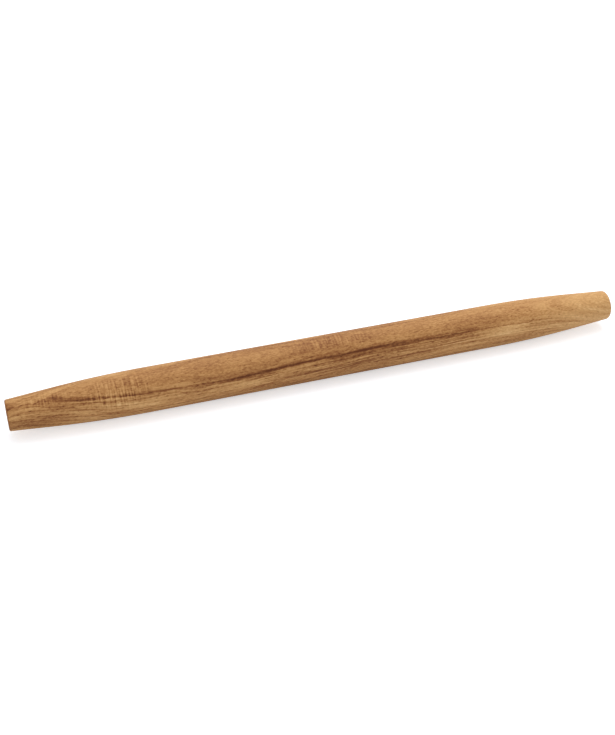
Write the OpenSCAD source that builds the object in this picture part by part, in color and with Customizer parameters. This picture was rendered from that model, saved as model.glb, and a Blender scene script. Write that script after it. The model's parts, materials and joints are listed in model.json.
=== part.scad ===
// French rolling pin: one length of hardwood, turned all over in a lathe.
// A straight barrel in the middle runs through a long, slight curve into a taper at each end.
// The pin lies along X, and the middle of its axis is the origin.

/* [Pin] */
// Length from one end face to the other
pin_l = 500; // [420:5:560]

/* [Barrel] */
// Diameter of the straight barrel
barrel_d = 35; // [30:0.5:45]

/* [Tapered ends] */
// Diameter that the taper comes down to at the end face
end_d = 24; // [16:0.5:28]
// Length from the end face to where the line of the taper would meet the barrel
taper_l = 70; // [60:1:120]
// How far the shoulder's curve reaches each way from that meeting place
shoulder_reach = 36; // [5:1:50]
// Radius of the eased edge round each end face
edge_r = 1.2; // [0.4:0.1:3]

/* [Hidden] */

barrel_r = barrel_d / 2;
end_r = end_d / 2;
half_l = pin_l / 2;

// The taper leans in by this angle, so the shoulder's curve turns through the same angle
taper_angle = atan2(barrel_r - end_r, taper_l);
shoulder_r = shoulder_reach / tan(taper_angle / 2);

// Places are pairs: distance from the axis, then distance along the pin from its middle
barrel_end = half_l - taper_l - shoulder_reach;
shoulder_centre = [barrel_r - shoulder_r, barrel_end];

// The eased edge touches both the taper and the end face
edge_centre = [
    end_r + edge_r * tan(taper_angle) - edge_r / cos(taper_angle),
    half_l - edge_r
];

// Steps that each curve of the outline is drawn in, and steps round the pin
shoulder_steps = 24;
edge_steps = 8;
round_fn = 180;

// Points along an arc, where angle 0 points straight out from the axis
function arc(centre, r, from, to, steps) = [
    for (i = [0 : steps])
        let (angle = from + (to - from) * i / steps)
            centre + r * [cos(angle), sin(angle)]
];

// Outline of one end, from the barrel to the middle of the end face
function end_outline() = concat(
    arc(shoulder_centre, shoulder_r, 0, taper_angle, shoulder_steps),
    arc(edge_centre, edge_r, taper_angle, 90, edge_steps),
    [[0, half_l]]
);

// The same points for the other end, in the opposite order
function other_end(points) = [
    for (i = [len(points) - 1 : -1 : 0])
        [points[i][0], -points[i][1]]
];

module rolling_pin() {
    one_end = end_outline();
    color("peru")
        rotate([0, 90, 0])
            rotate_extrude($fn = round_fn)
                polygon(concat(one_end, other_end(one_end)));
}

rolling_pin();
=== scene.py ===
"""A french rolling pin of oiled hardwood on a white floor, at the photograph's viewing angle."""
import json
import math

import bpy
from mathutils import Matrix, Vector, noise


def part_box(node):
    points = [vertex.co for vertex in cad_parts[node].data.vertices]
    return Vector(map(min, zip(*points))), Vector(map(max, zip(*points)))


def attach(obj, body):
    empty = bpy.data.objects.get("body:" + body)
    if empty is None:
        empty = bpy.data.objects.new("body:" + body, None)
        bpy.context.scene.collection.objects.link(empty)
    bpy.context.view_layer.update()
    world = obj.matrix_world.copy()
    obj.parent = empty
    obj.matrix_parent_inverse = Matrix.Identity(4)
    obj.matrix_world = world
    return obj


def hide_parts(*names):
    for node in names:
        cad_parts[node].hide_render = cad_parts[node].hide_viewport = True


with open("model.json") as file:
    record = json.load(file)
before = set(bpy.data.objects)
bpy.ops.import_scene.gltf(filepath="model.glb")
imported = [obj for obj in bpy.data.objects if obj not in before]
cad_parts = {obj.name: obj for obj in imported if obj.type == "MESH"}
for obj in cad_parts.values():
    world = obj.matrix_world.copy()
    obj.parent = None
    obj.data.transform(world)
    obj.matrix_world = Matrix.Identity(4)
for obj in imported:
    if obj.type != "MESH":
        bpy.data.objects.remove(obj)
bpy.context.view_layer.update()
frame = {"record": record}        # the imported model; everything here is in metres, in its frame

MM = 0.001

# The pin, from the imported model
NODE = "rolling_pin"
BARREL = next(m for m in frame["record"]["mounts"] if m["name"] == "barrel")
BARREL_R = BARREL["dims"]["r_mm"] * MM
BARREL_END = BARREL["dims"]["length_mm"] / 2 * MM
HALF_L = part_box(NODE)[1][0]
FLOOR_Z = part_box(NODE)[0][2]

# The tapered ends, as the model has them
END_R = 12 * MM
TAPER_L = 70 * MM
EDGE_R = 1.2 * MM

# Camera: where it stands, and how far it is turned to the right and tilted down
CAMERA_PLACE = (-0.2754, -0.7982, 0.5770)
CAMERA_TURN = math.radians(18.13)
CAMERA_TILT = math.radians(34.83)
CAMERA_LENS_PX = 1285.6
PHOTO_SIZE = (615, 735)
SENSOR_MM = 36

# Mesh of the pin
ROUND_STEPS = 128
STATION_GAP = 2.5 * MM
EDGE_STEPS = 6
FACE_RINGS = 8
SANDED_OFF = 0.05 * MM
SANDED_WAVE = 35 * MM

# Map of the pin: low and high corner of the unrolled side, and below it the discs of the two end faces
SIDE_ON_MAP = (0.006, 0.135), (0.994, 0.994)
DISC_R = 0.058
LEFT_DISC = (0.08, 0.066)
RIGHT_DISC = (0.24, 0.066)


def srgb(red, green, blue):
    """A colour as written in 8 bits, in the linear values that nodes take."""
    def linear(value):
        value /= 255
        return value / 12.92 if value <= 0.04045 else ((value + 0.055) / 1.055) ** 2.4
    return linear(red), linear(green), linear(blue), 1.0


# Camera, light and floor

def add_camera():
    data = bpy.data.cameras.new("camera")
    data.sensor_width = SENSOR_MM
    data.lens = CAMERA_LENS_PX / max(PHOTO_SIZE) * SENSOR_MM
    data.clip_start = 0.01
    camera = bpy.data.objects.new("camera", data)
    camera.location = CAMERA_PLACE
    camera.rotation_euler = (math.pi / 2 - CAMERA_TILT, 0, -CAMERA_TURN)
    bpy.context.collection.objects.link(camera)
    bpy.context.scene.camera = camera


def add_lamp(name, place, aim, size, watts):
    """A square soft box that faces a point."""
    data = bpy.data.lights.new(name, "AREA")
    data.size = size
    data.energy = watts
    lamp = bpy.data.objects.new(name, data)
    lamp.location = place
    lamp.rotation_euler = (Vector(aim) - Vector(place)).to_track_quat("-Z", "Y").to_euler()
    bpy.context.collection.objects.link(lamp)


def add_world(fill):
    """White where it is seen, mirrored or looked through, and a weaker even light from all round."""
    world = bpy.data.worlds.new("studio")
    bpy.context.scene.world = world
    world.use_nodes = True
    nodes = world.node_tree.nodes
    links = world.node_tree.links
    background = nodes["Background"]
    background.inputs["Color"].default_value = (1, 1, 1, 1)
    rays = nodes.new("ShaderNodeLightPath")
    seen = rays.outputs["Is Camera Ray"]
    for other in ("Is Glossy Ray", "Is Transmission Ray"):
        either = nodes.new("ShaderNodeMath")
        either.operation = "MAXIMUM"
        links.new(seen, either.inputs[0])
        links.new(rays.outputs[other], either.inputs[1])
        seen = either.outputs[0]
    strength = nodes.new("ShaderNodeMapRange")
    strength.inputs["To Min"].default_value = fill
    strength.inputs["To Max"].default_value = 1.0
    links.new(seen, strength.inputs["Value"])
    links.new(strength.outputs["Result"], background.inputs["Strength"])


def add_floor(size, colour, lift):
    """A white floor that keeps the shadow; lift is the glow that the camera alone sees."""
    mesh = bpy.data.meshes.new("floor")
    half = size / 2
    corners = [(x, y, FLOOR_Z) for x, y in ((-half, -half), (half, -half), (half, half), (-half, half))]
    mesh.from_pydata(corners, [], [(0, 1, 2, 3)])
    floor = bpy.data.objects.new("floor", mesh)
    bpy.context.collection.objects.link(floor)
    material = bpy.data.materials.new("white_floor")
    material.use_nodes = True
    nodes = material.node_tree.nodes
    links = material.node_tree.links
    shader = nodes["Principled BSDF"]
    shader.inputs["Base Color"].default_value = colour
    shader.inputs["Roughness"].default_value = 0.9
    shader.inputs["Specular IOR Level"].default_value = 0.2
    rays = nodes.new("ShaderNodeLightPath")
    glow = nodes.new("ShaderNodeMath")
    glow.operation = "MULTIPLY"
    glow.inputs[1].default_value = lift
    links.new(rays.outputs["Is Camera Ray"], glow.inputs[0])
    shader.inputs["Emission Color"].default_value = (1, 1, 1, 1)
    links.new(glow.outputs[0], shader.inputs["Emission Strength"])
    mesh.materials.append(material)


# Shape of the pin

def outline():
    """Places along the side from the left end face to the right one: (along, radius)."""
    angle = math.atan2(BARREL_R - END_R, TAPER_L)
    reach = HALF_L - TAPER_L - BARREL_END
    shoulder_r = reach / math.tan(angle / 2)
    taper_start = BARREL_END + shoulder_r * math.sin(angle)
    edge_along = HALF_L - EDGE_R
    edge_radius = END_R + EDGE_R * math.tan(angle) - EDGE_R / math.cos(angle)
    taper_end = edge_along + EDGE_R * math.sin(angle)

    def radius(along):
        if along <= BARREL_END:
            return BARREL_R
        if along <= taper_start:
            return BARREL_R - shoulder_r + math.sqrt(shoulder_r ** 2 - (along - BARREL_END) ** 2)
        return END_R + (HALF_L - along) * math.tan(angle)

    gaps = round(taper_end / STATION_GAP)
    half = [(taper_end * i / gaps, radius(taper_end * i / gaps)) for i in range(gaps + 1)]
    for i in range(1, EDGE_STEPS + 1):
        turn = angle + (math.pi / 2 - angle) * i / EDGE_STEPS
        half.append((edge_along + EDGE_R * math.sin(turn), edge_radius + EDGE_R * math.cos(turn)))
    return [(-along, r) for along, r in reversed(half[1:])] + half


class TurnedSurface:
    """Vertices, faces and map of the pin, in the order in which they are added."""

    def __init__(self):
        self.verts = []
        self.faces = []
        self.maps = []

    def add_ring(self, along, r):
        """A ring of the surface, slightly uneven from sanding. Gives the number of its first vertex."""
        first = len(self.verts)
        for j in range(ROUND_STEPS):
            turn = math.tau * j / ROUND_STEPS
            place = Vector((along, -r * math.sin(turn), -r * math.cos(turn)))
            wave = noise.noise(place / SANDED_WAVE) * 0.5 + 0.5
            cut = 1 - SANDED_OFF * wave / BARREL_R
            self.verts.append((along, place.y * cut, place.z * cut))
        return first

    def add_side(self, side):
        """The outline, turned. The map unrolls it, with the pin's length across and the way round up."""
        lengths = [0.0]
        for (a0, r0), (a1, r1) in zip(side, side[1:]):
            lengths.append(lengths[-1] + math.hypot(a1 - a0, r1 - r0))
        (left, low), (right, high) = SIDE_ON_MAP
        across = [left + (right - left) * length / lengths[-1] for length in lengths]
        up = [low + (high - low) * j / ROUND_STEPS for j in range(ROUND_STEPS + 1)]

        rings = [self.add_ring(along, r) for along, r in side]
        for i in range(len(rings) - 1):
            for j in range(ROUND_STEPS):
                k = (j + 1) % ROUND_STEPS
                self.faces.append((rings[i] + j, rings[i] + k, rings[i + 1] + k, rings[i + 1] + j))
                self.maps.append([(across[i], up[j]), (across[i], up[j + 1]),
                                  (across[i + 1], up[j + 1]), (across[i + 1], up[j])])
        return rings[0], rings[-1]

    def add_end(self, outer, along, face_r, disc):
        """An end face: rings inside the outer one that close on a middle vertex, and a disc on the map."""
        def on_map(index):
            across, up = self.verts[index][1:]
            return disc[0] + across / face_r * DISC_R, disc[1] + up / face_r * DISC_R

        def add_face(*corners):
            corners = corners if along > 0 else corners[::-1]
            self.faces.append(corners)
            self.maps.append([on_map(index) for index in corners])

        for i in range(FACE_RINGS - 1, 0, -1):
            inner = self.add_ring(along, face_r * i / FACE_RINGS)
            for j in range(ROUND_STEPS):
                k = (j + 1) % ROUND_STEPS
                add_face(outer + j, outer + k, inner + k, inner + j)
            outer = inner
        middle = len(self.verts)
        self.verts.append((along, 0, 0))
        for j in range(ROUND_STEPS):
            add_face(outer + j, outer + (j + 1) % ROUND_STEPS, middle)

    def mesh(self, name):
        mesh = bpy.data.meshes.new(name)
        mesh.from_pydata(self.verts, [], self.faces)
        layer = mesh.uv_layers.new(name="OFBake")
        for polygon, corners in zip(mesh.polygons, self.maps):
            polygon.use_smooth = True
            for loop, place in zip(polygon.loop_indices, corners):
                layer.data[loop].uv = place
        mesh.validate()
        return mesh


def pin_mesh():
    side = outline()
    surface = TurnedSurface()
    left_ring, right_ring = surface.add_side(side)
    surface.add_end(left_ring, *side[0], LEFT_DISC)
    surface.add_end(right_ring, *side[-1], RIGHT_DISC)
    return surface.mesh("turned_pin")


# Nodes, by short names

class Nodes:
    """Adds nodes to one material. An input takes a socket or a plain value."""

    def __init__(self, name):
        self.material = bpy.data.materials.new(name)
        self.material.use_nodes = True
        self.tree = self.material.node_tree
        self.shader = self.tree.nodes["Principled BSDF"]

    def put(self, socket, value):
        if isinstance(value, bpy.types.NodeSocket):
            self.tree.links.new(value, socket)
        else:
            socket.default_value = value

    def add(self, kind, inputs, **settings):
        node = self.tree.nodes.new(kind)
        for name, value in settings.items():
            setattr(node, name, value)
        for key, value in inputs.items():
            self.put(node.inputs[key], value)
        return node

    def math(self, operation, a, b=0.0, c=0.0):
        return self.add("ShaderNodeMath", {0: a, 1: b, 2: c}, operation=operation).outputs[0]

    def vector(self, operation, a, b):
        return self.add("ShaderNodeVectorMath", {0: a, 1: b}, operation=operation).outputs["Vector"]

    def length(self, vector):
        return self.add("ShaderNodeVectorMath", {0: vector}, operation="LENGTH").outputs["Value"]

    def combine(self, x, y, z):
        return self.add("ShaderNodeCombineXYZ", {"X": x, "Y": y, "Z": z}).outputs["Vector"]

    def remap(self, value, low, high, to_low=0.0, to_high=1.0, smooth=True):
        """value between low and high, spread over to_low to to_high and held at both ends."""
        inputs = {"Value": value, "From Min": low, "From Max": high, "To Min": to_low, "To Max": to_high}
        kind = "SMOOTHSTEP" if smooth else "LINEAR"
        return self.add("ShaderNodeMapRange", inputs, interpolation_type=kind).outputs["Result"]

    def noise(self, place, size, detail, roughness=0.5):
        """Noise from 0 to 1 whose blots are about size across, in the units of place."""
        scaled = self.vector("DIVIDE", place, size)
        inputs = {"Vector": scaled, "Scale": 1.0, "Detail": detail, "Roughness": roughness}
        return self.add("ShaderNodeTexNoise", inputs).outputs["Fac"]

    def peak(self, value, middle, half_width):
        """1 where value is at the middle, falling smoothly to 0 a half width away."""
        off = self.math("ABSOLUTE", self.math("SUBTRACT", value, middle))
        return self.remap(off, 0.0, half_width, 1.0, 0.0)

    def path(self, value, points):
        """A smooth curve through (value, height) points."""
        xs = [x for x, y in points]
        ys = [y for x, y in points]
        low, high = min(ys), max(ys)
        place = self.remap(value, xs[0], xs[-1], smooth=False)
        node = self.add("ShaderNodeFloatCurve", {"Value": place})
        curve = node.mapping.curves[0]
        spots = [((x - xs[0]) / (xs[-1] - xs[0]), (y - low) / (high - low)) for x, y in points]
        curve.points[0].location = spots[0]
        curve.points[-1].location = spots[-1]
        for spot in spots[1:-1]:
            curve.points.new(*spot)
        node.mapping.update()
        return self.remap(node.outputs["Value"], 0.0, 1.0, low, high, smooth=False)

    def ramp(self, value, stops):
        """A colour ramp through (place, colour) stops."""
        node = self.add("ShaderNodeValToRGB", {"Fac": value})
        elements = node.color_ramp.elements
        for number, (place, colour) in enumerate(stops):
            element = elements[number] if number < 2 else elements.new(place)
            element.position = place
            element.color = colour
        return node.outputs["Color"]

    def stain(self, strength, colour, over):
        """A colour multiplied by the one over it, as far as strength says."""
        node = self.add("ShaderNodeMix", {}, data_type="RGBA", blend_type="MULTIPLY")
        values = {"Factor": strength, "A": colour, "B": over}
        for socket in node.inputs:
            if socket.enabled and socket.name in values:
                self.put(socket, values[socket.name])
        return next(socket for socket in node.outputs if socket.enabled)


# Wood. Lengths in this section are in millimetres.
# A tone is a place on the ramp of the wood's colours, from dark at 0 to pale at 1.

# The tree's centre, behind and below the pin: (across, up)
PITH = (20.0, -50.0)
PITH_AWAY = math.hypot(*PITH)

# The dark layer that shows as a long streak: (along the pin, distance from the pith less PITH_AWAY)
STREAK_PATH = [
    (-250, 11.8), (-200, 14.7), (-145, 14.5), (-90, 13.1), (-58, 13.6), (-27, 14.5), (5, 15.0),
    (37, 15.4), (69, 15.1), (132, 15.2), (180, 13.9), (203, 11.3), (228, 5.6), (250, -0.4)
]

# How far below the streak the first pale layer lies: (along the pin, gap)
LAYER_GAP = [
    (-250, 2.6), (-218, 3.2), (-186, 4.8), (-154, 7.2), (-122, 6.9), (-90, 5.6), (-59, 4.7),
    (-27, 4.1), (5, 3.5), (31, 2.8), (101, 2.1), (165, 2.1), (196, 2.4), (250, 3.0)
]

# How far the layers wander off those paths, and the size of a bend
WANDER = 0.8
WANDER_SIZE = (70, 25, 25)

WOOD_TONES = [
    (0.00, srgb(98, 52, 25)),
    (0.25, srgb(145, 93, 51)),
    (0.50, srgb(188, 137, 84)),
    (0.75, srgb(214, 166, 109)),
    (1.00, srgb(238, 197, 141))
]

# End faces are darker, because the open pores drink the oil
END_FACE_STAIN = srgb(196, 160, 128)
END_FACE_STAIN_STRENGTH = 0.6

# How the colour lightens and darkens along the pin: (along the pin, tone added). Partly the wood's own
# tone and partly painted light: the right end and its taper are painted lighter, as if lit more from the
# right
TONE_AND_PAINTED_LIGHT_ALONG = [
    (-250, 0.05), (-175, 0.06), (-120, 0.02), (-50, -0.08), (25, -0.10), (75, -0.04), (125, 0.03),
    (160, 0.06), (190, 0.13), (225, 0.23), (250, 0.25)
]

# Growth lines: the size of their blots along the pin and in layers, and how far they change the tone.
# A spread is the noise that counts as none, and as all.
BROAD_LINES = (150, 1, 0.9)
BROAD_TONE = 0.55
FINE_LINES = (45, 1, 0.22)
FINE_LINES_SPREAD = (0.34, 0.66)
FINE_TONE_BELOW_STREAK = 0.4
FINE_TONE_ABOVE_STREAK = 0.12

# The streak: its core, which breaks up in blots of a size, and a soft stain that lies mostly below it
STREAK_TONE = -0.34
CORE_HALF_WIDTH = 0.9
CORE_BREAKS = (22, 1, 2.0)
CORE_BREAKS_SPREAD = (0.3, 0.6)
CORE_WHERE_BROKEN = 0.45
STAIN_HEIGHT = -0.8
STAIN_HALF_WIDTH = 3.0
STAIN_SHARE = 0.3

# Where the streak fades, along the pin and across it: (from, to, strength before, strength after)
STREAK_AT_LEFT_END = (-240.0, -205.0, 0.6, 1.0)
STREAK_AT_RIGHT_END = (60.0, 160.0, 1.0, 0.3)
STREAK_BEHIND = (-6.8, -5.0, 1.0, 0.0)

# Pale lines below the streak, with browner wood under each: (layer, from, to along the pin, tone added)
PALE_LINES = [(-1.0, -200.0, 45.0, 0.18), (-2.4, -20.0, 215.0, 0.24)]
PALE_LINE_FADE = 30.0
PALE_LINE_HALF_WIDTH = 0.16
BROWN_UNDER_BY = 0.5
BROWN_UNDER_TONE = -0.08

# Browner and paler places: (along the pin, degrees above the front), (half length, half width), tone added
BROWN_BAND_LOW_LEFT = (-234, -10), (46, 12), -0.36
BROWN_HEART_PATCH = (125, 52), (48, 10), -0.12
BROWN_UNDER_PALE_LINE = (165, -20), (60, 5), -0.10
PALE_PATCH_LOW_RIGHT = (152, 14), (30, 6), 0.16
TONED_PLACES = (BROWN_BAND_LOW_LEFT, BROWN_HEART_PATCH, BROWN_UNDER_PALE_LINE, PALE_PATCH_LOW_RIGHT)

# Ripple figure across the grain: place, half sizes and strength as above, and the size of a wave
RIPPLE_LEFT = (-168, 42), (38, 18), 1.0
RIPPLE_FAR_LEFT = (-222, 62), (32, 12), 0.7
RIPPLE_MIDDLE_TOP = (5, 74), (60, 11), 0.45
RIPPLES = (RIPPLE_LEFT, RIPPLE_FAR_LEFT, RIPPLE_MIDDLE_TOP)
RIPPLE_SIZE = (1.4, 14, 14)

# Speckle and pores, drawn out along the grain
SPECKLE_SIZE = (2.6, 1.0, 1.0)
SPECKLE_TONE = 0.7
PORE_SIZE = (3.4, 0.5, 0.5)
PORE_SPREAD = (0.6, 0.74)
PORE_TONE = -0.28

# How far pores, fine lines and ripple stand proud
PORE_RELIEF = -0.03
LINE_RELIEF = 0.03
RIPPLE_RELIEF = 0.05

# Shine of the oiled surface, and the roughness that speckle, pores and end faces add
SPECULAR = 0.15
ROUGHNESS = 0.55
SPECKLE_ROUGHNESS = 0.12
PORE_ROUGHNESS = 0.15
END_FACE_ROUGHNESS = 0.2


def grain_places(nodes):
    """The place, its place along and across the pin, height above the streak's layer, and layer number."""
    coordinates = nodes.add("ShaderNodeTexCoord", {}).outputs["Object"]
    place = nodes.vector("DIVIDE", coordinates, (MM, MM, MM))
    along, across, up = nodes.add("ShaderNodeSeparateXYZ", {"Vector": place}).outputs
    from_pith = nodes.vector("SUBTRACT", nodes.combine(0.0, across, up), (0.0, *PITH))
    bends = nodes.noise(place, WANDER_SIZE, detail=3.0)
    wander = nodes.remap(bends, 0.0, 1.0, -WANDER, WANDER, smooth=False)
    height = nodes.math("SUBTRACT", nodes.length(from_pith), PITH_AWAY)
    height = nodes.math("SUBTRACT", height, nodes.path(along, STREAK_PATH))
    height = nodes.math("ADD", height, wander)
    layer = nodes.math("DIVIDE", height, nodes.path(along, LAYER_GAP))
    return place, along, across, height, layer


def near(nodes, place, spot, half_sizes):
    """1 at a spot on the pin's side, falling to 0 at the half sizes along the pin and round it.

    A spot is a place along the pin, and the degrees that it is above the front.
    """
    along, degrees = spot
    half_length, half_width = half_sizes
    turn = math.radians(degrees)
    middle = (along, -BARREL_R / MM * math.cos(turn), BARREL_R / MM * math.sin(turn))
    off = nodes.vector("SUBTRACT", place, middle)
    off = nodes.vector("DIVIDE", off, (half_length, half_width, half_width))
    return nodes.remap(nodes.length(off), 0.2, 1.0, 1.0, 0.0)


def growth_lines(nodes, layered, layer):
    """Tone of the broad and fine lines together, and the fine lines' own pattern for the relief."""
    broad = nodes.noise(layered, BROAD_LINES, detail=2.0)
    tone = nodes.math("MULTIPLY_ADD", broad, BROAD_TONE, 0.5 - BROAD_TONE / 2)
    fine = nodes.noise(layered, FINE_LINES, detail=4.0, roughness=0.65)
    lines = nodes.math("SUBTRACT", nodes.remap(fine, *FINE_LINES_SPREAD), 0.5)
    clear = nodes.remap(layer, -0.2, 0.6, FINE_TONE_BELOW_STREAK, FINE_TONE_ABOVE_STREAK)
    return nodes.math("MULTIPLY_ADD", lines, clear, tone), fine


def streak(nodes, layered, along, across, height):
    """How strongly the dark streak shows: in front only, and less towards both ends."""
    fades = nodes.math("MULTIPLY", nodes.remap(along, *STREAK_AT_LEFT_END),
                       nodes.remap(along, *STREAK_AT_RIGHT_END))
    breaks = nodes.noise(layered, CORE_BREAKS, detail=3.0)
    breaks = nodes.remap(breaks, *CORE_BREAKS_SPREAD, CORE_WHERE_BROKEN, 1.0)
    core = nodes.math("MULTIPLY", nodes.peak(height, 0.0, CORE_HALF_WIDTH), breaks)
    stain = nodes.peak(height, STAIN_HEIGHT, STAIN_HALF_WIDTH)
    strength = nodes.math("MULTIPLY", nodes.math("MULTIPLY_ADD", stain, STAIN_SHARE, core), fades)
    return nodes.math("MULTIPLY", strength, nodes.remap(across, *STREAK_BEHIND))


def add_pale_lines(nodes, tone, along, layer):
    """The tone with the pale lines, and the browner wood under each."""
    for number, start, stop, pale in PALE_LINES:
        shows = nodes.math("MULTIPLY", nodes.remap(along, start, start + PALE_LINE_FADE),
                           nodes.remap(along, stop - PALE_LINE_FADE, stop, 1.0, 0.0))
        line = nodes.math("MULTIPLY", nodes.peak(layer, number, PALE_LINE_HALF_WIDTH), shows)
        under = nodes.math("MULTIPLY", nodes.peak(layer, number - BROWN_UNDER_BY, BROWN_UNDER_BY), shows)
        tone = nodes.math("MULTIPLY_ADD", line, pale, tone)
        tone = nodes.math("MULTIPLY_ADD", under, BROWN_UNDER_TONE, tone)
    return tone


def ripple_figure(nodes, place):
    """Waves across the grain, where the fibres ripple."""
    waves = nodes.math("SUBTRACT", nodes.noise(place, RIPPLE_SIZE, detail=1.0), 0.5)
    where = 0.0
    for spot, half_sizes, strength in RIPPLES:
        where = nodes.math("MULTIPLY_ADD", near(nodes, place, spot, half_sizes), strength, where)
    return nodes.math("MULTIPLY", waves, where)


def oiled_wood():
    nodes = Nodes("oiled_wood")
    place, along, across, height, layer = grain_places(nodes)
    layered = nodes.combine(along, 0.0, layer)
    grain = nodes.combine(along, across, height)
    speckle = nodes.math("SUBTRACT", nodes.noise(grain, SPECKLE_SIZE, detail=3.0, roughness=0.6), 0.5)
    pores = nodes.remap(nodes.noise(grain, PORE_SIZE, detail=1.0), *PORE_SPREAD)
    ripple = ripple_figure(nodes, place)

    tone, fine = growth_lines(nodes, layered, layer)
    tone = nodes.math("MULTIPLY_ADD", streak(nodes, layered, along, across, height), STREAK_TONE, tone)
    tone = add_pale_lines(nodes, tone, along, layer)
    # Tone along the pin, with painted light that makes the right end and its taper lighter
    tone = nodes.math("ADD", tone, nodes.path(along, TONE_AND_PAINTED_LIGHT_ALONG))
    for spot, half_sizes, added in TONED_PLACES:
        tone = nodes.math("MULTIPLY_ADD", near(nodes, place, spot, half_sizes), added, tone)
    tone = nodes.math("MULTIPLY_ADD", speckle, SPECKLE_TONE, tone)
    tone = nodes.math("MULTIPLY_ADD", pores, PORE_TONE, tone)
    tone = nodes.math("ADD", ripple, tone)

    # The side turns into the end face over the eased edge
    half_l = HALF_L / MM
    end_face = nodes.remap(nodes.math("ABSOLUTE", along), half_l - EDGE_R / MM, half_l - 0.1)
    stained = nodes.math("MULTIPLY", end_face, END_FACE_STAIN_STRENGTH)
    colour = nodes.stain(stained, nodes.ramp(tone, WOOD_TONES), END_FACE_STAIN)
    nodes.put(nodes.shader.inputs["Base Color"], colour)

    rough = nodes.math("MULTIPLY_ADD", speckle, SPECKLE_ROUGHNESS, ROUGHNESS)
    rough = nodes.math("MULTIPLY_ADD", pores, PORE_ROUGHNESS, rough)
    rough = nodes.math("MULTIPLY_ADD", end_face, END_FACE_ROUGHNESS, rough)
    nodes.put(nodes.shader.inputs["Roughness"], rough)
    nodes.shader.inputs["Specular IOR Level"].default_value = SPECULAR

    relief = nodes.math("MULTIPLY", pores, PORE_RELIEF)
    relief = nodes.math("MULTIPLY_ADD", fine, LINE_RELIEF, relief)
    relief = nodes.math("MULTIPLY_ADD", ripple, RIPPLE_RELIEF, relief)
    bump = nodes.add("ShaderNodeBump", {"Height": relief, "Distance": MM, "Strength": 1.0})
    nodes.put(nodes.shader.inputs["Normal"], bump.outputs["Normal"])
    return nodes.material


bpy.context.scene.view_settings.view_transform = "Standard"
add_camera()
add_world(fill=0.55)
add_lamp("key", place=(0.3, 0.4, 1.0), aim=(0.03, 0, 0), size=1.2, watts=9)
add_lamp("front", place=(-0.6, -1.1, 0.8), aim=(0, 0, 0), size=1.0, watts=2)
add_floor(size=6.0, colour=srgb(238, 243, 250), lift=0.52)

pin = bpy.data.objects.new("turned_pin", pin_mesh())
bpy.context.collection.objects.link(pin)
pin.data.materials.append(oiled_wood())
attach(pin, "root")
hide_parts(NODE)
